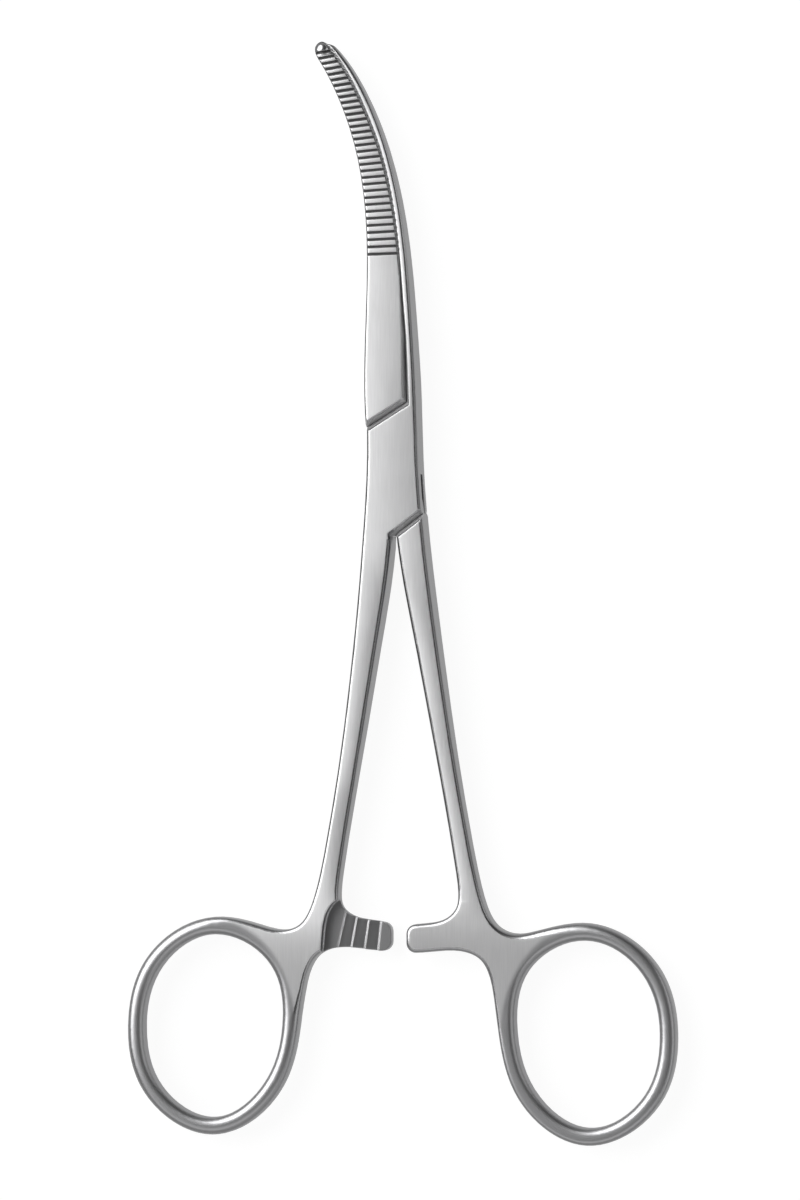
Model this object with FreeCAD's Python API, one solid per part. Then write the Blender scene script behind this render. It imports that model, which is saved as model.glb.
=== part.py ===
import FreeCAD, Part
import math
import os

# Curved hemostat forceps with a box lock, lying on the back plate of its box.
# Millimetres: x to the right, y towards the jaw tips, z up out of the plane of the rings.
# The origin is where the hinge axis meets the back face of the box.

Vec = FreeCAD.Vector

# Heights
BOX_THICKNESS = 5.6
MID_Z = BOX_THICKNESS / 2
RING_HEIGHT = 3.6
BOX_FLAT_END = 10.5
RING_FLAT_START = -62.0
# half the thickness of both forgings, as (y, half thickness)
SHANK_HALF_THICKNESS = [(RING_FLAT_START, RING_HEIGHT / 2), (-40.0, 2.1),
                        (-BOX_FLAT_END, MID_Z)]
JAW_HALF_THICKNESS = [(BOX_FLAT_END, MID_Z), (31.0, 2.2), (48.0, 1.6), (59.0, 1.2), (63.0, 0.95)]

# Rounding of the edges
BODY_ROUND = 0.6
RING_ROUND = 1.15
HOLE_ROUND = 1.05
JAW_ROUND = 0.5
JAW_TIP_ROUND = 0.4
SMOOTH_JAW_ROUND = 0.55
CLAMP_EDGE_ROUND = 0.25

# Box lock
PLATE_TO_PIVOT = 7.45
SHOULDER_TO_PIVOT = 7.5
UPPER_SHOULDER_ANGLE = 32.0
LOWER_SHOULDER_ANGLE = 37.0
PLATE_UPPER_RUN = (0.05, 6.91)
PLATE_LOWER_RUN = (-5.98, -0.36)
JAW_SHOULDER_RUN = (-0.06, 6.82)
SHANK_SHOULDER_RUN = (-5.1, -0.3)
PLATE_ROOT_ROUND = 0.3
JAW_CORNER_ROUND = 0.35
# the V between plate and shoulder: distances of its edges on the flats from the hinge, and its depth
V_PLATE_EDGE = 6.75
V_SHOULDER_EDGE = 8.2
V_DEPTH = 1.2
V_BOTTOM_HALF_WIDTH = 0.01
V_OVERRUN = 3.0
# where each V turns and runs out: (x, y, half width on the box's level)
V_BETWEEN_JAWS = [(1.86, 9.98, 0.58), (1.6, 19.7, 0.44), (0.8, 31.0, 0.12)]
V_BETWEEN_SHANKS = [(-0.2, -9.5, 0.6), (0.1, -18.0, 0.1)]
TONGUE_WIDTH = 4.2
TONGUE_THICKNESS = 1.8
TONGUE_TILT = 8.0
TONGUE_HALF_LENGTH = 10.2
TONGUE_FOOT_WIDTH = 2.5
TONGUE_FOOT_CUT = 2.6
NECK_TO_PIVOT = 5.6
NECK_INSIDE = 9.0
# along the shoulder line: outer side at the plate, outer side inside the jaw or shank, inner side
UPPER_NECK_RUNS = (-1.04, 0.95, 2.0)
LOWER_NECK_RUNS = (0.6, -1.35, -4.0)
CLAMP_FOOT_Y = 8.0
LOCK_CLEARANCE = 0.05
LOCK_RADIUS = 9.4
OPENING_ANGLE = 40.0

# Pivot pin, pressed into both plates, running in the tongue
PIN_RADIUS = 1.2
PIN_LENGTH = 5.0
PIN_CLEARANCE = 0.03

# Jaws, seen from the front (x, y)
PARTING_LINE = [(1.86, 10.0), (1.6, 19.7), (0.8, 31.0), (-0.5, 40.0), (-1.95, 45.9), (-4.35, 52.3),
                (-7.15, 57.9), (-10.1, 62.0)]
JAW_GAP = 0.1
LEFT_JAW_OUTER = [(-10.95, 62.35), (-11.75, 61.6), (-11.65, 60.5), (-10.98, 59.3), (-8.83, 55.3),
                  (-5.91, 47.3), (-4.44, 39.3), (-3.95, 29.2), (-4.14, 20.5), (-4.27, 12.0)]
RIGHT_JAW_OUTER = [(-9.4, 61.9), (-8.5, 61.15), (-5.9, 57.6), (-3.48, 53.0), (-1.28, 47.3),
                   (0.75, 39.3), (2.15, 29.2), (2.82, 20.5), (3.34, 11.7), (3.62, 3.0)]

# Grooves across the jaws
GROOVE_COUNT = 33
FIRST_GROOVE_Y = 31.35
PITCH_AT_BOX = 1.06
PITCH_AT_TIP = 0.77
GROOVE_WIDTH = 0.42
GROOVE_DEPTH = 0.24
CLAMP_GROOVE_DEPTH = 0.18
GROOVE_FLOOR = 0.2
GROOVE_SLOPE_AT_BOX = 2.0
GROOVE_SLOPE_AT_TIP = 10.0

# Shanks with the webs and ratchet arms, seen from the front (x, y)
LEFT_OUTER = [(-4.05, -2.8), (-4.43, -8.6), (-5.26, -18.7), (-6.52, -30.3), (-8.07, -41.9),
              (-10.01, -53.5), (-11.56, -60.8), (-12.5, -63.6), (-14.1, -65.9), (-16.5, -66.65),
              (-20.0, -65.97)]
LEFT_INNER = [(-0.93, -15.8), (-2.31, -24.5), (-4.22, -36.1), (-6.21, -47.7), (-7.85, -57.9),
              (-8.2, -61.2), (-7.9, -63.2), (-6.4, -64.5), (-4.0, -65.1), (-0.57, -65.85)]
LEFT_BELOW = [(-13.4, -75.2), (-12.5, -72.0), (-11.2, -70.2), (-9.0, -69.25), (-5.0, -69.3),
              (-0.57, -69.55)]
RIGHT_OUTER = [(4.8, -11.5), (5.68, -18.7), (7.26, -30.3), (9.0, -41.9), (11.04, -53.5),
               (12.6, -60.8), (13.5, -63.6), (15.1, -66.0), (17.4, -66.98), (20.9, -66.5)]
RIGHT_INNER = [(1.4, -15.8), (3.04, -24.5), (5.19, -36.1), (7.29, -47.7), (8.99, -57.9),
               (9.36, -61.2), (9.05, -63.3), (7.6, -64.8), (5.0, -65.5), (1.76, -65.95)]
RIGHT_BELOW = [(14.6, -76.3), (13.9, -73.0), (12.6, -70.75), (10.3, -69.65), (6.0, -69.6),
               (1.76, -69.75)]
ARM_END_ROUND = 1.4

# Finger holes (x, y), from the far side round to the web; the first point is the farthest out
LEFT_HOLE = [(-37.05, -80.7), (-35.26, -88.74), (-26.81, -94.01), (-18.88, -88.23), (-16.64, -80.51),
             (-18.15, -72.07), (-26.81, -67.37), (-34.92, -72.61)]
RIGHT_HOLE = [(38.75, -81.5), (36.86, -89.67), (28.33, -95.0), (20.16, -89.31), (17.79, -81.35),
              (19.32, -72.57), (28.33, -67.93), (36.6, -73.29)]
RING_WIDTH = 2.5

# Ratchet
TOOTH_COUNT = 4
TOOTH_HEIGHT = 0.7
TOOTH_PITCH = 1.93
TOOTH_LAND = 0.25
TOOTH_WALL_RUN = 0.2
FIRST_TOOTH_X = -8.1
TOOTH_ROW_Y = -67.4
FIRST_TOOTH_SLANT = 13.0
LAST_TOOTH_SLANT = 6.0
RECESS_EDGE = [(-11.0, -70.5), (-10.72, -68.0), (-10.34, -65.1), (-9.58, -63.3), (-8.55, -62.3),
               (-7.3, -62.3)]
RECESS_RIGHT = 6.0
RECESS_BELOW = -72.0
ARMS_CENTRE_X = 0.595

FAR = 60.0

document = FreeCAD.newDocument("forceps")


def vec(point, z=0.0):
    return Vec(point[0], point[1], z)


def curve_through(points, start=None, end=None):
    """A smooth edge through points in space, with its direction at the ends if they are given."""
    ends = {} if start is None else {"InitialTangent": start, "FinalTangent": end, "Scale": False}
    curve = Part.BSplineCurve()
    curve.interpolate(Points=points, **ends)
    return curve.toShape()


def spline(points):
    return curve_through([vec(p) for p in points])


def hole_outline(points):
    """A finger hole: a closed curve that starts and ends upright at its first point."""
    return curve_through([vec(p) for p in points + points[:1]], Vec(0, -1, 0), Vec(0, -1, 0))


def split_at(edge, points):
    """The same edge in several pieces, parted at points that lie on it."""
    return edge.split([edge.Curve.parameter(vec(p)) for p in points]).Edges


def line(start, end):
    return Part.makeLine(vec(start), vec(end))


def prism(edges, bottom, top):
    """A straight solid over a closed outline in the plane of the rings."""
    face = Part.Face(Part.Wire(Part.__sortEdges__(edges)))
    face.translate(Vec(0, 0, bottom))
    return face.extrude(Vec(0, 0, top - bottom))


def polygon_prism(points, bottom, top):
    return prism([line(a, b) for a, b in zip(points, points[1:] + points[:1])], bottom, top)


def toward(angle, distance):
    """The point at a distance from the hinge, in the direction of an angle from +x."""
    return (distance * math.cos(math.radians(angle)), distance * math.sin(math.radians(angle)))


def side_profile():
    """The thickness of the forgings seen from the side, as a solid reaching far to both sides."""
    ring_half = SHANK_HALF_THICKNESS[0][1]
    tip_y, tip_half = JAW_HALF_THICKNESS[-1]
    level_run = Vec(0, 1, 0)
    edges = []
    for sign in (1, -1):
        shank = [Vec(-FAR, y, MID_Z + sign * half) for y, half in SHANK_HALF_THICKNESS]
        jaw = [Vec(-FAR, y, MID_Z + sign * half) for y, half in JAW_HALF_THICKNESS]
        edges.append(Part.makeLine(Vec(-FAR, -2 * FAR, shank[0].z), shank[0]))
        edges.append(curve_through(shank, level_run, level_run))
        edges.append(Part.makeLine(shank[-1], jaw[0]))
        edges.append(curve_through(jaw, level_run, (jaw[-1] - jaw[-2]).normalize()))
    for y, half in ((-2 * FAR, ring_half), (tip_y, tip_half)):
        edges.append(Part.makeLine(Vec(-FAR, y, MID_Z - half), Vec(-FAR, y, MID_Z + half)))
    face = Part.Face(Part.Wire(Part.__sortEdges__(edges)))
    return face.extrude(Vec(2 * FAR, 0, 0))


def on_shoulder_line(side, distance, along):
    """A point on a shoulder line: side is 1 above the hinge and -1 below it."""
    angle = UPPER_SHOULDER_ANGLE if side > 0 else LOWER_SHOULDER_ANGLE
    start = toward(90 + angle, side * distance)
    run = toward(angle, along)
    return (start[0] + run[0], start[1] + run[1])


def clamping_face(side):
    """Where one jaw faces the other, as (x, y): side is -1 for the left jaw and 1 for the right."""
    return [(x + side * JAW_GAP / 2, y) for x, y in PARTING_LINE]


def is_upright(edge):
    ends = [vertex.Point for vertex in edge.Vertexes]
    return len(ends) == 2 and math.hypot(ends[0].x - ends[1].x, ends[0].y - ends[1].y) < 0.01


def round_upright(solid, corner, radius):
    """Round the upright edge that stands at a corner of the outline."""
    found = []
    for edge in solid.Edges:
        start = edge.Vertexes[0].Point
        if is_upright(edge) and math.hypot(start.x - corner[0], start.y - corner[1]) < 0.01:
            found.append(edge)
    return solid.makeFillet(radius, found)


def round_flat(solid, radii_of):
    """Round the top and bottom edges; radii_of gives the radius at the two ends of an edge."""
    base = document.addObject("Part::Feature", "Blank")
    base.Shape = solid
    rounds = []
    for number, edge in enumerate(solid.Edges, start=1):
        radii = (0, 0) if is_upright(edge) else radii_of(edge)
        if radii[0] > 0:
            rounds.append((number, radii[0], radii[1]))
    rounded = document.addObject("Part::Fillet", "Rounded")
    rounded.Base = base
    rounded.Edges = rounds
    document.recompute()
    return rounded.Shape.copy().Solids[0]


def near(point, edge):
    return Part.Vertex(point).distToShape(edge)[0] < 0.03


def on_cross_line(point):
    """True on the seams that cross the flats, where the side profile changes its curve."""
    return min(abs(point.y - y) for y in (RING_FLAT_START, -BOX_FLAT_END, BOX_FLAT_END)) < 0.01


def edge_radii(edge, shoulders, jaw_edge, jaw_round, hole, ring_ends):
    """The rounding at the two ends of a top or bottom edge, by what part of the outline it is."""
    middle = edge.valueAt((edge.FirstParameter + edge.LastParameter) / 2)
    middle.z = 0
    if on_cross_line(middle) or any(near(middle, shoulder) for shoulder in shoulders):
        return (0, 0)
    ends = [edge.valueAt(parameter) for parameter in (edge.FirstParameter, edge.LastParameter)]
    if near(middle, jaw_edge):
        return tuple(jaw_round if end.y < BOX_FLAT_END + 1 else JAW_TIP_ROUND for end in ends)
    if near(middle, hole):
        return (HOLE_ROUND, HOLE_ROUND)
    if middle.y > CLAMP_FOOT_Y:
        return (CLAMP_EDGE_ROUND, CLAMP_EDGE_ROUND)
    radii = []
    for end in ends:
        on_limb = any(math.hypot(end.x - x, end.y - y) < 0.03 for x, y in ring_ends)
        radii.append(RING_ROUND if on_limb else BODY_ROUND)
    return tuple(radii)


def blank(edges, corner_rounds, profile, hole=None):
    """A forging blank: outline, rounded corners, finger hole, then the thickness from the side."""
    solid = prism(edges, -1, BOX_THICKNESS + 1)
    for corner, radius in corner_rounds:
        solid = round_upright(solid, corner, radius)
    if hole is not None:
        solid = solid.cut(prism([hole], -2, BOX_THICKNESS + 2))
    return solid.common(profile).Solids[0]


def ring_outline(hole_points, hole):
    """Points on the outside of a finger ring, from its top round the far side to the web below."""
    points = []
    for index in (6, 7, 0, 1, 2, 3, 4):
        x, y = hole_points[index]
        tangent = hole.tangentAt(hole.Curve.parameter(vec((x, y))))
        side = 1 if hole_points[0][0] < hole_points[4][0] else -1
        points.append((x + side * tangent.y * RING_WIDTH, y - side * tangent.x * RING_WIDTH))
    return points


def half_thickness(y):
    """Half the thickness of a jaw at y, taken straight between the stations."""
    for (low_y, low), (high_y, high) in zip(JAW_HALF_THICKNESS, JAW_HALF_THICKNESS[1:]):
        if y <= high_y:
            return low + (high - low) * (y - low_y) / (high_y - low_y)
    return JAW_HALF_THICKNESS[-1][1]


def crossing(edge, y):
    """Where an outline edge crosses a level y."""
    level = Part.makeLine(Vec(-FAR, y, 0), Vec(FAR, y, 0))
    return edge.distToShape(level)[1][0][0]


def grooves(clamp_edge, side):
    """Cutters for the grooves: across the front of the left jaw, and down each clamping face."""
    left_edge = spline(LEFT_JAW_OUTER)
    cutters = []
    y = FIRST_GROOVE_Y
    for index in range(GROOVE_COUNT):
        share = index / (GROOVE_COUNT - 1)
        slope = math.radians(GROOVE_SLOPE_AT_BOX + (GROOVE_SLOPE_AT_TIP - GROOVE_SLOPE_AT_BOX) * share)
        pitch = PITCH_AT_BOX + (PITCH_AT_TIP - PITCH_AT_BOX) * (index + 0.5) / (GROOVE_COUNT - 1)
        run = Vec(math.cos(slope), math.sin(slope), 0)
        up_jaw = Vec(-math.sin(slope), math.cos(slope), 0)
        start = crossing(left_edge, y)
        if side > 0:
            start = start + up_jaw * (pitch / 2)
        ray = Part.makeLine(start, start + run * 9)
        wall = clamp_edge.distToShape(ray)[1][0][0]
        half = GROOVE_WIDTH / 2
        if side < 0:
            top = MID_Z + half_thickness(wall.y)
            section = [(-half * 1.6, 0.25), (-GROOVE_FLOOR / 2, -GROOVE_DEPTH),
                       (GROOVE_FLOOR / 2, -GROOVE_DEPTH), (half * 1.6, 0.25)]
            corners = [start - run * 1.5 + up_jaw * across + Vec(0, 0, top + rise)
                       for across, rise in section]
            face = Part.Face(Part.makePolygon(corners + corners[:1]))
            cutters.append(face.extrude(run * 9))
        section = [(0.3, -half * 1.6), (-CLAMP_GROOVE_DEPTH, -GROOVE_FLOOR / 2),
                   (-CLAMP_GROOVE_DEPTH, GROOVE_FLOOR / 2), (0.3, half * 1.6)]
        corners = [wall - run * (side * along) + up_jaw * across - Vec(0, 0, 1)
                   for along, across in section]
        face = Part.Face(Part.makePolygon(corners + corners[:1]))
        cutters.append(face.extrude(Vec(0, 0, BOX_THICKNESS + 2)))
        y += pitch
    return Part.makeCompound(cutters)


def ratchet_cutters():
    """What is cut from the front of the left arm: the recess with its floor and the tooth valleys."""
    crest = MID_Z + TOOTH_HEIGHT / 2
    valley = MID_Z - TOOTH_HEIGHT / 2
    top = BOX_THICKNESS + 1
    below = (RECESS_EDGE[0][0], RECESS_BELOW)
    outline = [spline(RECESS_EDGE), line(RECESS_EDGE[-1], (RECESS_RIGHT, RECESS_EDGE[-1][1])),
               line((RECESS_RIGHT, RECESS_EDGE[-1][1]), (RECESS_RIGHT, RECESS_BELOW)),
               line((RECESS_RIGHT, RECESS_BELOW), below), line(below, RECESS_EDGE[0])]
    whole = prism(outline, 0, top)
    cutters = [prism(outline, crest, top)]
    for index in range(TOOTH_COUNT):
        x = FIRST_TOOTH_X + index * TOOTH_PITCH
        slant = FIRST_TOOTH_SLANT + (LAST_TOOTH_SLANT - FIRST_TOOTH_SLANT) * index / (TOOTH_COUNT - 1)
        direction = Vec(math.sin(math.radians(slant)), math.cos(math.radians(slant)), 0)
        wall_foot = x - TOOTH_WALL_RUN
        if index == 0:
            section = [(x - 5, valley), (wall_foot, valley), (x, crest), (x, top), (x - 5, top)]
        else:
            section = [(x - TOOTH_PITCH + TOOTH_LAND, crest), (wall_foot, valley), (x, crest),
                       (x, crest + 1), (x - TOOTH_PITCH + TOOTH_LAND, crest + 1)]
        corners = [Vec(px, TOOTH_ROW_Y, pz) - direction * 7 for px, pz in section]
        valley_cut = Part.Face(Part.makePolygon(corners + corners[:1])).extrude(direction * 14)
        cutters.append(valley_cut.common(whole) if index == 0 else valley_cut)
    return cutters


def turned(shape):
    """The same cutter on the other arm: half a turn about the line between the two arms."""
    copy = shape.copy()
    copy.rotate(Vec(ARMS_CENTRE_X, 0, MID_Z), Vec(0, 1, 0), 180)
    return copy


def wedge(side, half_width):
    """The part of the box beside the tongue that the tongue never reaches while it swings."""
    middle = OPENING_ANGLE / 2 + TONGUE_TILT
    apex = toward(middle, side * half_width / math.cos(math.radians(OPENING_ANGLE / 2)))
    points = [apex]
    for angle in (90 + TONGUE_TILT, middle, OPENING_ANGLE + TONGUE_TILT - 90):
        run = toward(angle, side * FAR / 2)
        points.append((apex[0] + run[0], apex[1] + run[1]))
    return polygon_prism(points, -1, BOX_THICKNESS + 1)


def slot():
    """The opening through the box in which the tongue swings."""
    height = TONGUE_THICKNESS + 2 * LOCK_CLEARANCE
    space = Part.makeCylinder(LOCK_RADIUS, height, Vec(0, 0, MID_Z - height / 2))
    for side in (1, -1):
        space = space.cut(wedge(side, TONGUE_WIDTH / 2 + LOCK_CLEARANCE))
    return space


def tongue():
    """The flat bar through the box, with a wide neck at the jaw and at the shank."""
    bottom = MID_Z - TONGUE_THICKNESS / 2
    top = MID_Z + TONGUE_THICKNESS / 2
    half = TONGUE_WIDTH / 2
    reach = TONGUE_HALF_LENGTH
    corners = []
    for across, along in ((half, reach), (half, -reach), (half - TONGUE_FOOT_WIDTH, -reach),
                          (-half, -reach + TONGUE_FOOT_CUT), (-half, reach)):
        side_point = toward(TONGUE_TILT, across)
        run = toward(90 + TONGUE_TILT, along)
        corners.append((side_point[0] + run[0], side_point[1] + run[1]))
    necks = []
    for side, (at_plate, inside, inner) in ((1, UPPER_NECK_RUNS), (-1, LOWER_NECK_RUNS)):
        outline = [on_shoulder_line(side, NECK_TO_PIVOT, at_plate),
                   on_shoulder_line(side, NECK_TO_PIVOT, inner),
                   on_shoulder_line(side, NECK_INSIDE, inner),
                   on_shoulder_line(side, NECK_INSIDE, inside)]
        necks.append(polygon_prism(outline, bottom, top))
    return polygon_prism(corners, bottom, top).fuse(necks)


def ruled_solid(bottom, top, low, high):
    """A solid between two outlines with the same number of points, at two heights."""
    lower = [vec(p, low) for p in bottom]
    upper = [vec(p, high) for p in top]
    faces = [Part.Face(Part.makePolygon(ring + ring[:1])) for ring in (lower, upper)]
    for index in range(len(lower)):
        edges = [Part.makeLine(ring[index - 1], ring[index]) for ring in (lower, upper)]
        faces.append(Part.makeRuledSurface(*edges))
    shell = Part.Shell(Part.makeCompound(faces).Faces)
    shell.sewShape()
    solid = Part.Solid(shell)
    if solid.Volume < 0:
        solid.reverse()
    return solid


def v_groove(side):
    """Cutters, front and back, for the V between a plate and a shoulder; side as in on_shoulder_line."""
    middle = (PLATE_TO_PIVOT + SHOULDER_TO_PIVOT) / 2
    angle = UPPER_SHOULDER_ANGLE if side > 0 else LOWER_SHOULDER_ANGLE
    rise = math.tan(math.radians(angle))
    plate_side, centre, shoulder_side = [], [], []
    for x, y, half in V_BETWEEN_JAWS if side > 0 else V_BETWEEN_SHANKS:
        plate_side.append((x + side * half, y))
        shoulder_side.append((x - side * half, y))
        centre.append((x, y))
    for points, distance in ((plate_side, V_PLATE_EDGE), (centre, middle), (shoulder_side, V_SHOULDER_EDGE)):
        start = on_shoulder_line(side, distance, -side * V_OVERRUN)
        corner_x = points[0][0]
        points[0] = (corner_x, start[1] + (corner_x - start[0]) * rise)
        points.insert(0, start)
    normal = toward(angle + 90, 1)
    bottom = []
    for sign, points in ((-1, centre), (1, centre[::-1])):
        for x, y in points:
            shift = sign * side * V_BOTTOM_HALF_WIDTH
            bottom.append((x + normal[0] * shift, y + normal[1] * shift))
    edges = plate_side + shoulder_side[::-1]
    top = [(2 * edge[0] - low[0], 2 * edge[1] - low[1]) for edge, low in zip(edges, bottom)]
    front = ruled_solid(bottom, top, BOX_THICKNESS - V_DEPTH, BOX_THICKNESS + V_DEPTH)
    back = front.mirror(Vec(0, 0, MID_Z), Vec(0, 0, 1))
    return [front, back]


def make_box_arm(profile):
    """Left ring, shank and ratchet arm, the box with its two plates, and the smooth right jaw."""
    upper_left, root = (on_shoulder_line(1, PLATE_TO_PIVOT, run) for run in PLATE_UPPER_RUN)
    lower_left, lower_right = (on_shoulder_line(-1, PLATE_TO_PIVOT, run) for run in PLATE_LOWER_RUN)
    clamp_points = [root] + clamping_face(1)[1:]
    clamp_edge = spline(clamp_points)
    jaw_edge = spline([clamp_points[-1]] + RIGHT_JAW_OUTER + [lower_right])
    hole = hole_outline(LEFT_HOLE)
    ring = ring_outline(LEFT_HOLE, hole)
    outer = spline([upper_left] + LEFT_OUTER + ring + LEFT_BELOW)
    edges = [jaw_edge, line(lower_right, lower_left), spline([lower_left] + LEFT_INNER),
             line(LEFT_INNER[-1], LEFT_BELOW[-1]), line(upper_left, root), clamp_edge]
    edges += split_at(outer, [LEFT_OUTER[-1], ring[0], ring[-1], LEFT_BELOW[0]])
    corners = [(LEFT_INNER[-1], ARM_END_ROUND), (LEFT_BELOW[-1], ARM_END_ROUND),
               (root, PLATE_ROOT_ROUND)]
    body = blank(edges, corners, profile, hole)
    plates = [line(upper_left, root), line(lower_left, lower_right)]

    def radii_of(edge):
        return edge_radii(edge, plates, jaw_edge, SMOOTH_JAW_ROUND, hole, (ring[0], ring[-1]))

    body = round_flat(body, radii_of)
    pin_hole = Part.makeCylinder(PIN_RADIUS, PIN_LENGTH + 1, Vec(0, 0, -1))
    cutters = [slot(), pin_hole, grooves(clamp_edge, 1)] + ratchet_cutters()
    return body.cut(cutters + v_groove(1) + v_groove(-1)).Solids[0]


def make_tongue_arm(profile):
    """Right ring, shank and ratchet arm, the tongue, and the left jaw with its grooves."""
    jaw_left, jaw_corner = (on_shoulder_line(1, SHOULDER_TO_PIVOT, run) for run in JAW_SHOULDER_RUN)
    shank_left, shank_right = (on_shoulder_line(-1, SHOULDER_TO_PIVOT, run)
                               for run in SHANK_SHOULDER_RUN)
    clamp_points = [jaw_corner] + clamping_face(-1)[1:]
    clamp_edge = spline(clamp_points)
    jaw_edge = spline([clamp_points[-1]] + LEFT_JAW_OUTER + [jaw_left])
    jaw = blank([jaw_edge, line(jaw_left, jaw_corner), clamp_edge],
                [(jaw_corner, JAW_CORNER_ROUND)], profile)
    hole = hole_outline(RIGHT_HOLE)
    ring = ring_outline(RIGHT_HOLE, hole)
    outer = spline([shank_right] + RIGHT_OUTER + ring + RIGHT_BELOW)
    edges = [line(shank_left, shank_right), line(RIGHT_BELOW[-1], RIGHT_INNER[-1]),
             spline([shank_left] + RIGHT_INNER)]
    edges += split_at(outer, [RIGHT_OUTER[-1], ring[0], ring[-1], RIGHT_BELOW[0]])
    corners = [(RIGHT_INNER[-1], ARM_END_ROUND), (RIGHT_BELOW[-1], ARM_END_ROUND)]
    shank = blank(edges, corners, profile, hole)
    shoulders = [line(jaw_left, jaw_corner), line(shank_left, shank_right)]

    def radii_of(edge):
        return edge_radii(edge, shoulders, jaw_edge, JAW_ROUND, hole, (ring[0], ring[-1]))

    shank = round_flat(shank, radii_of).cut(v_groove(-1))
    jaw = round_flat(jaw, radii_of).cut(v_groove(1) + [grooves(clamp_edge, -1)])
    shank = shank.cut([turned(cutter) for cutter in ratchet_cutters()])
    body = shank.fuse([tongue(), jaw])
    pin_hole = Part.makeCylinder(PIN_RADIUS + PIN_CLEARANCE, BOX_THICKNESS)
    return body.cut(pin_hole).Solids[0]


def make_pivot_pin():
    return Part.makeCylinder(PIN_RADIUS, PIN_LENGTH)


def main():
    os.makedirs("parts", exist_ok=True)
    profile = side_profile()
    pieces = {"box_arm": make_box_arm(profile), "tongue_arm": make_tongue_arm(profile),
              "pivot_pin": make_pivot_pin()}
    for name, shape in pieces.items():
        shape.exportStep("parts/" + name + ".step")
        print(name, shape.isValid(), round(shape.Volume, 1))


main()
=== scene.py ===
import math
from collections import namedtuple

import bpy
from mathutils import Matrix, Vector

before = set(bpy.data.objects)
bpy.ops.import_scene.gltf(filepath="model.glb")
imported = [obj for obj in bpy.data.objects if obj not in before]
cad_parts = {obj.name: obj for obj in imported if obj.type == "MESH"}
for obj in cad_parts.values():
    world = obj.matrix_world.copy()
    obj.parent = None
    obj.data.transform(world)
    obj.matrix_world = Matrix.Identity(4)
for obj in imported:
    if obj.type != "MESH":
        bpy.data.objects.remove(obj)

# Looks of the curved hemostat forceps: satin flats with a lengthwise grain, polished edges and
# rings, dull cut faces in the box lock and the ratchet. Painted shade darkens the steep roundings,
# the crevices and the grooves, and a painted highlight lightens the sharp edges.
# The scene is in metres, in the frame of the solids. Places inside the materials are in mm.
# A pair (start, full) says where a mask leaves 0 and where it reaches 1.

MM = 0.001

# One smooth skin over each solid
SHARP_ANGLE = math.radians(32)
WELD_REACH = 0.002
FACE_WEIGHT = 80

# Camera: looks down on the forceps, leaning a little to their right
VIEW_HEIGHT = 0.17407
VIEW_CENTRE = Vector((0.00059, -0.01871, 0.0028))
CAMERA_LEAN = math.radians(10)
CAMERA_DISTANCE = 1.2
CAMERA_REACH = 10
SENSOR_HEIGHT = 36.0

# What differs between the arms: their middle line as (y, x, half width), which the crown of the
# flats follows, the middle line of the finger ring as (x, y, half width, half height), the crown's
# lean at the edges of the jaw, how much of the painted shade on the roundings the jaw keeps, the
# web's lean to the right, and 1 where the jaw ends in a polished dome.
Arm = namedtuple("Arm", "line ring jaw_tilt jaw_shade web_tilt domed")
BOX_ARM = Arm(
    line=[(-62, -9.9, 1.9), (-53, -9.4, 1.8), (-42, -6.6, 1.7), (-30, -4.9, 1.7), (-16, -3.0, 2.1),
          (-9, -0.5, 4.3), (8, 0.0, 4.0), (13, 2.5, 0.9), (29, 1.7, 0.9), (42, -0.2, 0.9),
          (53, -4.0, 0.8), (62, -9.6, 0.6)],
    ring=(-26.9, -80.7, 11.4, 14.5), jaw_tilt=0.26, jaw_shade=0.2, web_tilt=0.0, domed=0.0)
TONGUE_ARM = Arm(
    line=[(-62, 11.2, 1.9), (-53, 9.7, 1.8), (-42, 7.5, 1.7), (-30, 5.7, 1.7), (-16, 3.2, 2.0),
          (-8, 2.6, 2.4), (8, -1.4, 2.9), (20, -1.4, 2.9), (29, -1.5, 2.6), (42, -3.1, 2.1),
          (53, -6.3, 1.6), (62, -10.6, 0.8)],
    ring=(28.3, -81.5, 11.7, 14.8), jaw_tilt=0.075, jaw_shade=1.0, web_tilt=0.09, domed=1.0)

# Crown of the ground flats: its lean at the edges, and where along y it begins and changes
BOX_CROWN_TILT = 0.11
SHANK_CROWN_TILT = 0.20
CROWN_RANGE = (-66.0, -58.0)
SHANK_RANGE = (-14.0, -22.0)
JAW_RANGE = (12.0, 18.0)

# The webs bend down towards the rings: (y, lean) at the top and at the bottom
WEB_TOP = (-65.4, 0.08)
WEB_BOTTOM = (-74.0, -0.28)

# The rings are polished all over: how far from the ring's centre, where 1 is its middle line, and y
RING_EDGE = (1.12, 1.04)
RING_RANGE = (-58.0, -64.0)

# The rounded end of the grooved jaw: its middle, radius, where it begins, and how far it is domed
TIP_PLACE = (-10.75, 61.2)
TIP_RADIUS = 0.95
TIP_RANGE = (60.3, 60.6)
TIP_DOME = 0.8

# Facing is 1 on a surface that looks straight up or down, and 0 on an upright one
FLAT_FACING = (0.98, 0.998)
SHADE_FACING = (0.93, 0.86)
SHADE_FACING_END = (0.40, 0.60)

# Painted shade on the steep part of a rounding: how much, and what is left of that on rings and a jaw
ROUNDING_PAINTED_SHADE = 0.68
RING_PAINTED_SHADE = 0.45
JAW_PAINTED_SHADE_RANGE = (16.0, 38.0)

# Faces cut into the forging, near its middle plane: their distance from it, facing and y
MID_PLANE = 2.8
CUT_DEPTH = (1.15, 0.95)
CUT_FACING = (0.55, 0.80)
CUT_RANGE = (14.0, 12.0)
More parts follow.
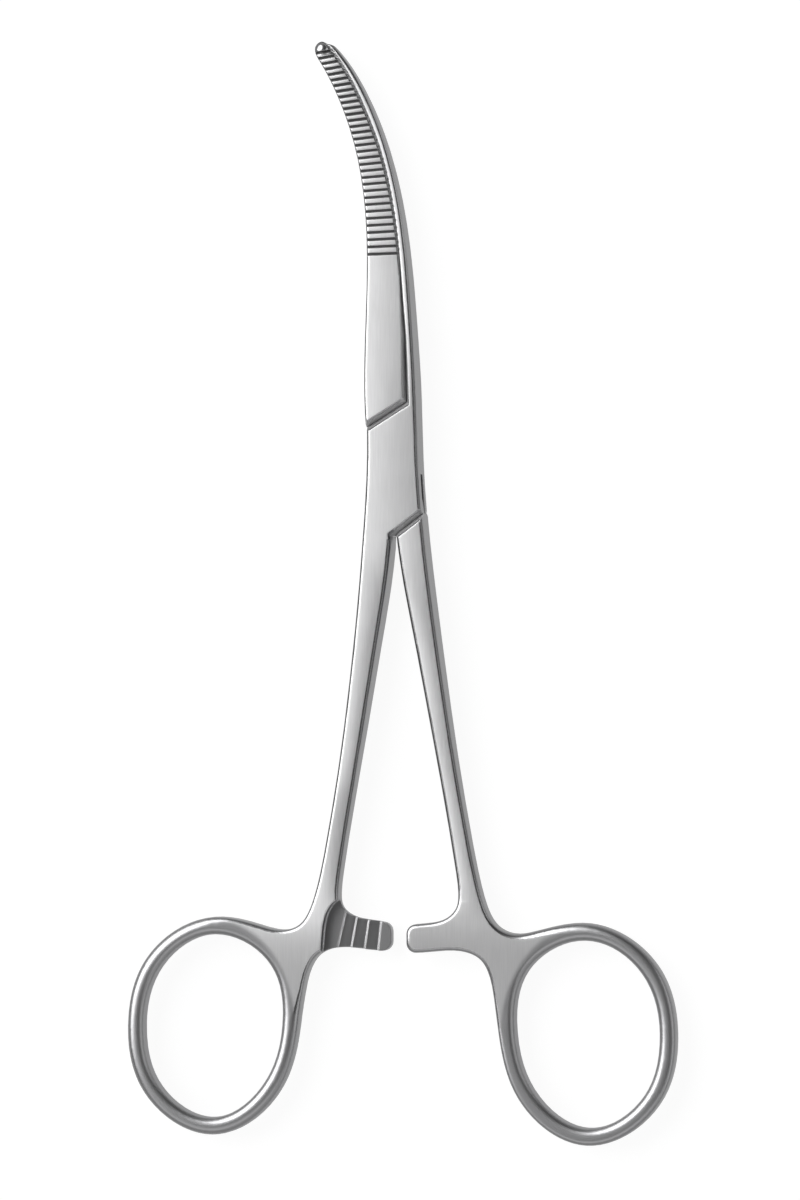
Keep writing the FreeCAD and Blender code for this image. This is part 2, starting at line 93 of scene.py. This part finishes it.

# Painted shade in crevices, and matt walls of hollows, by how open they are to the light: 1 is wide open
OPEN_REACH = 1.2
OPEN_SAMPLES = 16
CREVICE_OPEN = (0.45, 0.10)
CREVICE_PAINTED_SHADE = 0.15
HOLLOW_OPEN = (0.85, 0.60)
HOLLOW_FACING = (0.80, 0.65)
HOLLOW_FACING_END = (0.02, 0.10)
HOLLOW_MATT = 0.8

# Painted shade in the grooves across the jaw: y of the first, their sides by facing and lean along
# y, and their floors by how far they lie under the jaw's own height, given as (y, half thickness) as
# in the solids
GROOVE_RANGE = (30.5, 31.0)
GROOVE_PAINTED_SHADE = 0.85
GROOVE_SIDE_FACING = (0.9, 0.7)
GROOVE_SIDE_FACING_END = (0.15, 0.3)
GROOVE_SIDE_LEAN = (0.5, 0.75)
GROOVE_FLOOR_SUNK = (0.10, 0.16)
GROOVE_FLOOR_FACING = (0.85, 0.95)
JAW_HEIGHTS = [(10.5, 2.8), (31.0, 2.2), (48.0, 1.6), (59.0, 1.2), (63.0, 0.95)]

# Painted highlight on sharp edges: where the rounded normal turns away from the true one
EDGE_RADIUS = 0.32
EDGE_SAMPLES = 6
EDGE_HIGHLIGHT_TURN = (0.95, 0.85)

# Colours
WHITE = (1, 1, 1, 1)
FLAT_COLOUR = (0.79, 0.79, 0.795, 1)
POLISHED_COLOUR = (0.60, 0.60, 0.61, 1)
DULL_COLOUR = (0.34, 0.34, 0.345, 1)
HOLLOW_COLOUR = (0.62, 0.62, 0.625, 1)
# Painted shade: in crevices, in grooves and on the steep roundings
PAINTED_SHADE_COLOUR = (0.05, 0.05, 0.05, 1)
# Painted highlight on sharp edges
EDGE_HIGHLIGHT_COLOUR = (0.85, 0.85, 0.86, 1)
PIN_DARK = (0.55, 0.55, 0.56, 1)
PIN_LIGHT = (0.64, 0.64, 0.65, 1)

# Grain along the instrument with slow clouds over it: scales, detail, and reach in colour
GRAIN_ACROSS = 5.0
GRAIN_ALONG = 0.22
GRAIN_DETAIL = 5.0
GRAIN_SHADE = (0.90, 1.08)
GRAIN_BUMP = 0.10
GRAIN_DEPTH = 0.05
CLOUD_SCALE = 0.12
CLOUD_SHADE = (0.95, 1.05)
FINE_SCALE = 9.0
SOFT_DETAIL = 3.0

# Roughness: of polished steel, and what the other finishes add to it
POLISHED_ROUGHNESS = 0.17
FLAT_ROUGHNESS = (0.31, 0.41)
DULL_ROUGHNESS = 0.25
RING_ROUGHNESS = 0.16
CREVICE_ROUGHNESS = 0.3
FINE_ROUGHNESS = (-0.02, 0.02)

# Pin: fine turned rings on its end
PIN_RING_SCALE = 3.0
PIN_RING_WAVER = 0.3
PIN_CLOUD_SCALE = 1.5
PIN_ROUGHNESS = (0.24, 0.34)
PIN_BUMP = 0.1
PIN_RING_DEPTH = 0.02

# Studio: the main light as levels by the cosine of the angle to it, then the other lights as
# (start, full, level) along x, towards the front, and along z
KEY_DIRECTION = Vector((-0.68, 0.48, 0.56)).normalized()
KEY_LEVELS = [(-1.0, 0.05), (0.35, 0.06), (0.66, 0.14), (0.76, 0.34), (0.82, 0.80), (0.88, 3.1),
              (1.0, 3.1)]
KEY_TOP = max(light for cosine, light in KEY_LEVELS)
RIGHT_LIGHT = (0.66, 0.78, 0.8)
FRONT_LIGHT = (0.15, 0.50, 0.55)
LOW_SKY = (0.12, 0.35, 0.26)

# Table: a little below the forceps, with its glow in the view and as the steel mirrors it
FLOOR_SIZE = 4.0
FLOOR_DROP = 0.02
FLOOR_COLOUR = (0.14, 0.14, 0.14, 1)
FLOOR_GLOW = 0.92
FLOOR_IN_STEEL = 0.41


class Graph:
    """Short calls that add and join the nodes of one tree."""

    def __init__(self, owner):
        owner.use_nodes = True
        self.tree = owner.node_tree
        self.tree.nodes.clear()

    def add(self, kind, inputs=None, **settings):
        node = self.tree.nodes.new(kind)
        for name, value in settings.items():
            setattr(node, name, value)
        for name, value in (inputs or {}).items():
            self.put(node.inputs[name], value)
        return node

    def put(self, socket, value):
        if isinstance(value, bpy.types.NodeSocket):
            self.tree.links.new(value, socket)
        else:
            socket.default_value = value

    def math(self, operation, *values, clamp=False):
        inputs = dict(enumerate(values))
        return self.add("ShaderNodeMath", inputs, operation=operation, use_clamp=clamp).outputs[0]

    def plus(self, first, *others):
        for other in others:
            first = self.math("ADD", first, other)
        return first

    def minus(self, first, second):
        return self.math("SUBTRACT", first, second)

    def times(self, first, *others):
        for other in others:
            first = self.math("MULTIPLY", first, other)
        return first

    def vector(self, operation, *values):
        inputs = dict(enumerate(values))
        return self.add("ShaderNodeVectorMath", inputs, operation=operation).outputs[0]

    def measure(self, operation, *values):
        """A number taken from vectors, such as a length."""
        inputs = dict(enumerate(values))
        return self.add("ShaderNodeVectorMath", inputs, operation=operation).outputs["Value"]

    def split(self, vector):
        return self.add("ShaderNodeSeparateXYZ", {0: vector}).outputs

    def step(self, value, start, full):
        """0 at the start, 1 where it is full, and a smooth rise in between."""
        inputs = {"Value": value, "From Min": start, "From Max": full}
        return self.add("ShaderNodeMapRange", inputs, interpolation_type="SMOOTHSTEP").outputs[0]

    def span(self, value, low, high):
        """A value from 0 to 1 brought to the range from low to high."""
        return self.add("ShaderNodeMapRange", {"Value": value, "To Min": low, "To Max": high}).outputs[0]

    def between(self, value, first, second):
        """A straight change from one (value, result) point to another, and level beyond them."""
        inputs = {"Value": value, "From Min": first[0], "From Max": second[0], "To Min": first[1],
                  "To Max": second[1]}
        return self.add("ShaderNodeMapRange", inputs).outputs[0]

    def mix(self, share, first, second):
        node = self.add("ShaderNodeMix", data_type="RGBA")
        for name, kind, value in (("Factor", "VALUE", share), ("A", "RGBA", first), ("B", "RGBA", second)):
            socket = next(s for s in node.inputs if s.name == name and s.type == kind)
            self.put(socket, value)
        return next(s for s in node.outputs if s.type == "RGBA")

    def noise(self, place, scale, detail):
        inputs = {"Vector": place, "Scale": scale, "Detail": detail}
        return self.add("ShaderNodeTexNoise", inputs).outputs["Fac"]

    def ramp(self, value, stops):
        node = self.add("ShaderNodeValToRGB", {"Fac": value})
        elements = node.color_ramp.elements
        while len(elements) < len(stops):
            elements.new(0.5)
        for element, (position, level) in zip(elements, stops):
            element.position = position
            element.color = (level, level, level, 1)
        return node.outputs["Color"]

    def curve(self, value, points):
        """A smooth curve through (value, result) points, both from 0 to 1."""
        node = self.add("ShaderNodeFloatCurve", {"Value": value})
        line = node.mapping.curves[0]
        while len(line.points) < len(points):
            line.points.new(0.5, 0.5)
        for point, place in zip(line.points, points):
            point.location = place
        node.mapping.update()
        return node.outputs[0]

    def turn_normal(self, normal, source, target):
        settings = {"vector_type": "NORMAL", "convert_from": source, "convert_to": target}
        return self.add("ShaderNodeVectorTransform", {0: normal}, **settings).outputs[0]

    def finish(self, **inputs):
        """The surface of the material, from inputs named as the shader's, with _ for a space."""
        named = {name.replace("_", " "): value for name, value in inputs.items()}
        surface = self.add("ShaderNodeBsdfPrincipled", named).outputs[0]
        self.add("ShaderNodeOutputMaterial", {"Surface": surface})


class Spot:
    """Where a point of a surface lies, in mm, and which way it faces."""

    def __init__(self, graph):
        coordinates = graph.add("ShaderNodeTexCoord").outputs
        self.place = graph.vector("DIVIDE", coordinates["Object"], (MM, MM, MM))
        self.x, self.y, self.z = graph.split(self.place)
        _, lean_along, up = graph.split(coordinates["Normal"])
        self.lean_along = graph.math("ABSOLUTE", lean_along)
        self.facing = graph.math("ABSOLUTE", up)
        self.depth = graph.math("ABSOLUTE", graph.minus(self.z, MID_PLANE))


def along_arm(graph, y, rows, column):
    """A column of rows that begin with y, as a smooth function of y."""
    low, high = rows[0][0], rows[-1][0]
    values = [row[column] for row in rows]
    base, reach = min(values), max(values) - min(values)
    share = graph.math("DIVIDE", graph.minus(y, low), high - low, clamp=True)
    points = [((row[0] - low) / (high - low), (row[column] - base) / reach) for row in rows]
    return graph.plus(graph.times(graph.curve(share, points), reach), base)


def ring_mask(graph, spot, ring):
    """The finger ring, without the web."""
    x, y, half_width, half_height = ring
    offset = graph.vector("SUBTRACT", spot.place, (x, y, 0))
    offset = graph.vector("MULTIPLY", offset, (1 / half_width, 1 / half_height, 0))
    distance = graph.measure("LENGTH", offset)
    return graph.times(graph.step(distance, *RING_EDGE), graph.step(spot.y, *RING_RANGE))


def cut_mask(graph, spot):
    """Faces that were cut into the forging: the tongue, the recess and the teeth."""
    return graph.times(graph.step(spot.depth, *CUT_DEPTH), graph.step(spot.facing, *CUT_FACING),
                       graph.step(spot.y, *CUT_RANGE))


def painted_rounding_shade_mask(graph, spot, jaw_shade):
    """The steep part of the roundings, which gets painted shade."""
    mask = graph.times(graph.step(spot.facing, *SHADE_FACING), graph.step(spot.facing, *SHADE_FACING_END))
    mask = graph.times(mask, graph.span(graph.step(spot.y, *JAW_PAINTED_SHADE_RANGE), 1.0, jaw_shade))
    return graph.times(mask, graph.span(graph.step(spot.y, *RING_RANGE), 1.0, RING_PAINTED_SHADE))


def groove_painted_shade_mask(graph, spot):
    """Sides and floors of the grooves across the jaws, which get painted shade."""
    side = graph.times(graph.step(spot.facing, *GROOVE_SIDE_FACING),
                       graph.step(spot.facing, *GROOVE_SIDE_FACING_END),
                       graph.step(spot.lean_along, *GROOVE_SIDE_LEAN))
    sunk = graph.minus(along_arm(graph, spot.y, JAW_HEIGHTS, 1), spot.depth)
    floor = graph.times(graph.step(sunk, *GROOVE_FLOOR_SUNK), graph.step(spot.facing, *GROOVE_FLOOR_FACING))
    return graph.times(graph.math("MAXIMUM", side, floor), graph.step(spot.y, *GROOVE_RANGE))


def hollow_masks(graph, spot):
    """Painted shade in crevices and grooves, and the matt walls of hollows such as the V of the lock."""
    openness = graph.add("ShaderNodeAmbientOcclusion", {"Distance": OPEN_REACH * MM}, samples=OPEN_SAMPLES)
    openness = openness.outputs["AO"]
    crevice_painted_shade = graph.times(graph.step(openness, *CREVICE_OPEN), CREVICE_PAINTED_SHADE)
    crevice_painted_shade = graph.math("MAXIMUM", crevice_painted_shade, graph.times(groove_painted_shade_mask(graph, spot), GROOVE_PAINTED_SHADE))
    hollow = graph.times(graph.step(openness, *HOLLOW_OPEN), graph.step(spot.facing, *HOLLOW_FACING),
                         graph.step(spot.facing, *HOLLOW_FACING_END))
    return crevice_painted_shade, hollow


def painted_edge_highlight_mask(graph, rounded, crevice_painted_shade):
    """Sharp edges, which get a painted highlight where the rounded normal turns from the true one."""
    true_normal = graph.add("ShaderNodeNewGeometry").outputs["Normal"]
    turn = graph.measure("DOT_PRODUCT", true_normal, rounded)
    return graph.times(graph.step(turn, *EDGE_HIGHLIGHT_TURN), graph.minus(1.0, crevice_painted_shade))


def crown(graph, spot, arm):
    """How far the flats lean to the side, because they are slightly crowned."""
    middle = along_arm(graph, spot.y, arm.line, 1)
    half = along_arm(graph, spot.y, arm.line, 2)
    across = graph.math("DIVIDE", graph.minus(spot.x, middle), half)
    across = graph.math("MINIMUM", graph.math("MAXIMUM", across, -1.0), 1.0)
    level = graph.span(graph.step(spot.y, *SHANK_RANGE), BOX_CROWN_TILT, SHANK_CROWN_TILT)
    on_jaw = graph.step(spot.y, *JAW_RANGE)
    level = graph.plus(level, graph.times(on_jaw, arm.jaw_tilt - BOX_CROWN_TILT))
    return graph.times(across, level, graph.step(spot.y, *CROWN_RANGE))


def leaning_normal(graph, spot, arm, rounded, flat, tip):
    """The rounded normal, leaned by the crown of the flats, the bend of the webs and the jaw's dome."""
    on_web = graph.times(flat, graph.step(spot.y, *reversed(CROWN_RANGE)))
    dome = TIP_DOME / TIP_RADIUS
    tip_x = graph.times(graph.minus(spot.x, TIP_PLACE[0]), dome, tip)
    tip_y = graph.times(graph.minus(spot.y, TIP_PLACE[1]), dome, tip)
    lean_x = graph.plus(graph.times(crown(graph, spot, arm), flat), graph.times(on_web, arm.web_tilt), tip_x)
    lean_y = graph.plus(graph.times(graph.between(spot.y, WEB_BOTTOM, WEB_TOP), on_web), tip_y)
    lean = graph.add("ShaderNodeCombineXYZ", {"X": lean_x, "Y": lean_y}).outputs[0]
    normal = graph.vector("NORMALIZE", graph.turn_normal(rounded, "WORLD", "OBJECT"))
    normal = graph.turn_normal(graph.vector("ADD", normal, lean), "OBJECT", "WORLD")
    return graph.vector("NORMALIZE", normal)


def steel(name, arm):
    """Stainless steel: brushed on the flats, polished on the roundings, dull where it was cut, with
    painted shade on steep roundings, in crevices and grooves, and a painted highlight on sharp edges.
    """
    material = bpy.data.materials.new(name)
    graph = Graph(material)
    spot = Spot(graph)
    tip = graph.times(graph.step(spot.y, *TIP_RANGE), arm.domed)
    on_ring = ring_mask(graph, spot, arm.ring)
    dull = cut_mask(graph, spot)
    flat = graph.step(spot.facing, *FLAT_FACING)
    for other in (tip, on_ring, dull):
        flat = graph.times(flat, graph.minus(1.0, other))
    # Painted shade in crevices and grooves, and the matt hollows
    crevice_painted_shade, hollow = hollow_masks(graph, spot)
    rounded = graph.add("ShaderNodeBevel", {"Radius": EDGE_RADIUS * MM}, samples=EDGE_SAMPLES).outputs[0]
    painted_edge_highlight = painted_edge_highlight_mask(graph, rounded, crevice_painted_shade)

    stretched = graph.vector("MULTIPLY", spot.place, (GRAIN_ACROSS, GRAIN_ALONG, GRAIN_ACROSS))
    grain = graph.noise(stretched, 1.0, GRAIN_DETAIL)
    cloud = graph.noise(spot.place, CLOUD_SCALE, SOFT_DETAIL)
    fine = graph.noise(spot.place, FINE_SCALE, SOFT_DETAIL)
    shade = graph.times(graph.span(grain, *GRAIN_SHADE), graph.span(cloud, *CLOUD_SHADE))
    shade = graph.plus(graph.times(graph.minus(shade, 1.0), flat), 1.0)

    # Painted shade on the steep part of the roundings, mixed into the colour
    painted_rounding_shade = graph.times(painted_rounding_shade_mask(graph, spot, arm.jaw_shade), ROUNDING_PAINTED_SHADE)
    colour = graph.mix(flat, POLISHED_COLOUR, FLAT_COLOUR)
    # Mixed into the colour: painted shade on roundings, dull cut faces, matt hollows, painted shade in
    # crevices and a painted highlight on sharp edges
    for share, other in ((painted_rounding_shade, PAINTED_SHADE_COLOUR), (dull, DULL_COLOUR), (hollow, HOLLOW_COLOUR),
                         (crevice_painted_shade, PAINTED_SHADE_COLOUR), (painted_edge_highlight, EDGE_HIGHLIGHT_COLOUR)):
        colour = graph.mix(share, colour, other)
    colour = graph.vector("SCALE", colour)
    graph.put(colour.node.inputs["Scale"], shade)

    roughness = graph.plus(POLISHED_ROUGHNESS, graph.times(flat, graph.span(grain, *FLAT_ROUGHNESS)),
                           graph.times(dull, DULL_ROUGHNESS), graph.times(on_ring, RING_ROUGHNESS),
                           graph.times(crevice_painted_shade, CREVICE_ROUGHNESS), graph.span(fine, *FINE_ROUGHNESS))
    bump = {"Strength": GRAIN_BUMP, "Distance": GRAIN_DEPTH * MM, "Height": graph.times(grain, flat),
            "Normal": leaning_normal(graph, spot, arm, rounded, flat, tip)}
    normal = graph.add("ShaderNodeBump", bump).outputs[0]
    metallic = graph.minus(1.0, graph.times(hollow, HOLLOW_MATT))
    graph.finish(Base_Color=colour, Metallic=metallic, Roughness=roughness, Normal=normal)
    return material


def pin_steel(name):
    """The turned end of the pivot pin: fine rings round its axis."""
    material = bpy.data.materials.new(name)
    graph = Graph(material)
    place = Spot(graph).place
    wave = {"Vector": place, "Scale": PIN_RING_SCALE, "Distortion": PIN_RING_WAVER}
    rings = graph.add("ShaderNodeTexWave", wave, wave_type="RINGS", rings_direction="Z").outputs["Fac"]
    colour = graph.mix(graph.noise(place, PIN_CLOUD_SCALE, SOFT_DETAIL), PIN_DARK, PIN_LIGHT)
    bump = {"Strength": PIN_BUMP, "Distance": PIN_RING_DEPTH * MM, "Height": rings}
    normal = graph.add("ShaderNodeBump", bump).outputs[0]
    graph.finish(Base_Color=colour, Metallic=1.0, Roughness=graph.span(rings, *PIN_ROUGHNESS), Normal=normal)
    return material


def smooth(node):
    """One smooth skin over a solid: joined faces, sharp only at real edges."""
    weld = node.modifiers.new("weld", "WELD")
    weld.merge_threshold = WELD_REACH * MM
    for polygon in node.data.polygons:
        polygon.use_smooth = True
    split = node.modifiers.new("split", "EDGE_SPLIT")
    split.split_angle = SHARP_ANGLE
    weighted = node.modifiers.new("weighted", "WEIGHTED_NORMAL")
    weighted.keep_sharp = True
    weighted.weight = FACE_WEIGHT


def dress(name, material):
    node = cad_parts[name]
    node.data.materials.clear()
    node.data.materials.append(material)
    smooth(node)


def white_table(name):
    """White to the camera, weaker in the steel, and with the shadow of the forceps on it."""
    material = bpy.data.materials.new(name)
    graph = Graph(material)
    rays = graph.add("ShaderNodeLightPath").outputs
    seen = graph.math("MAXIMUM", rays["Is Camera Ray"], rays["Is Transmission Ray"])
    seen = graph.math("MAXIMUM", seen, graph.times(rays["Is Glossy Ray"], FLOOR_IN_STEEL))
    diffuse = graph.add("ShaderNodeBsdfDiffuse", {"Color": FLOOR_COLOUR}).outputs[0]
    glow = {"Color": WHITE, "Strength": graph.times(seen, FLOOR_GLOW)}
    glow = graph.add("ShaderNodeEmission", glow).outputs[0]
    surface = graph.add("ShaderNodeAddShader", {0: diffuse, 1: glow}).outputs[0]
    graph.add("ShaderNodeOutputMaterial", {"Surface": surface})
    return material


def pale_floor():
    size = FLOOR_SIZE
    mesh = bpy.data.meshes.new("floor")
    corners = [(-size, -size, 0), (size, -size, 0), (size, size, 0), (-size, size, 0)]
    mesh.from_pydata(corners, [], [(0, 1, 2, 3)])
    mesh.materials.append(white_table("white_table"))
    floor = bpy.data.objects.new("floor", mesh)
    floor.location.z = -FLOOR_DROP * MM
    bpy.context.scene.collection.objects.link(floor)


def studio():
    """A bright panel to the upper left, weaker ones to the right and front, and dull light elsewhere."""
    world = bpy.data.worlds.new("studio")
    bpy.context.scene.world = world
    graph = Graph(world)
    direction = graph.add("ShaderNodeTexCoord").outputs["Generated"]
    towards_key = graph.measure("DOT_PRODUCT", direction, tuple(KEY_DIRECTION))
    share = graph.math("DIVIDE", graph.plus(towards_key, 1.0), 2.0)
    stops = [((cosine + 1) / 2, light / KEY_TOP) for cosine, light in KEY_LEVELS]
    level = graph.times(graph.ramp(share, stops), KEY_TOP)
    x, y, z = graph.split(direction)
    for along, (start, full, light) in ((x, RIGHT_LIGHT), (graph.times(y, -1.0), FRONT_LIGHT)):
        level = graph.math("MAXIMUM", level, graph.times(graph.step(along, start, full), light))
    start, full, light = LOW_SKY
    height = graph.step(z, start, full)
    level = graph.plus(graph.times(level, height), graph.times(graph.minus(1.0, height), light))
    surface = graph.add("ShaderNodeBackground", {"Color": WHITE, "Strength": level}).outputs[0]
    graph.add("ShaderNodeOutputWorld", {"Surface": surface})


def camera():
    data = bpy.data.cameras.new("camera")
    data.sensor_fit = "VERTICAL"
    data.sensor_height = SENSOR_HEIGHT
    data.lens = SENSOR_HEIGHT * CAMERA_DISTANCE / VIEW_HEIGHT
    data.clip_end = CAMERA_REACH
    view = bpy.data.objects.new("camera", data)
    view.rotation_euler = (0, CAMERA_LEAN, 0)
    towards_camera = Vector((math.sin(CAMERA_LEAN), 0, math.cos(CAMERA_LEAN)))
    view.location = VIEW_CENTRE + towards_camera * CAMERA_DISTANCE
    bpy.context.scene.collection.objects.link(view)
    bpy.context.scene.camera = view


def main():
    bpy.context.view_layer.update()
    dress("box_arm", steel("box_arm_steel", BOX_ARM))
    dress("tongue_arm", steel("tongue_arm_steel", TONGUE_ARM))
    dress("pivot_pin", pin_steel("pin_steel"))
    pale_floor()
    studio()
    camera()
    bpy.context.scene.view_settings.view_transform = "Standard"


main()
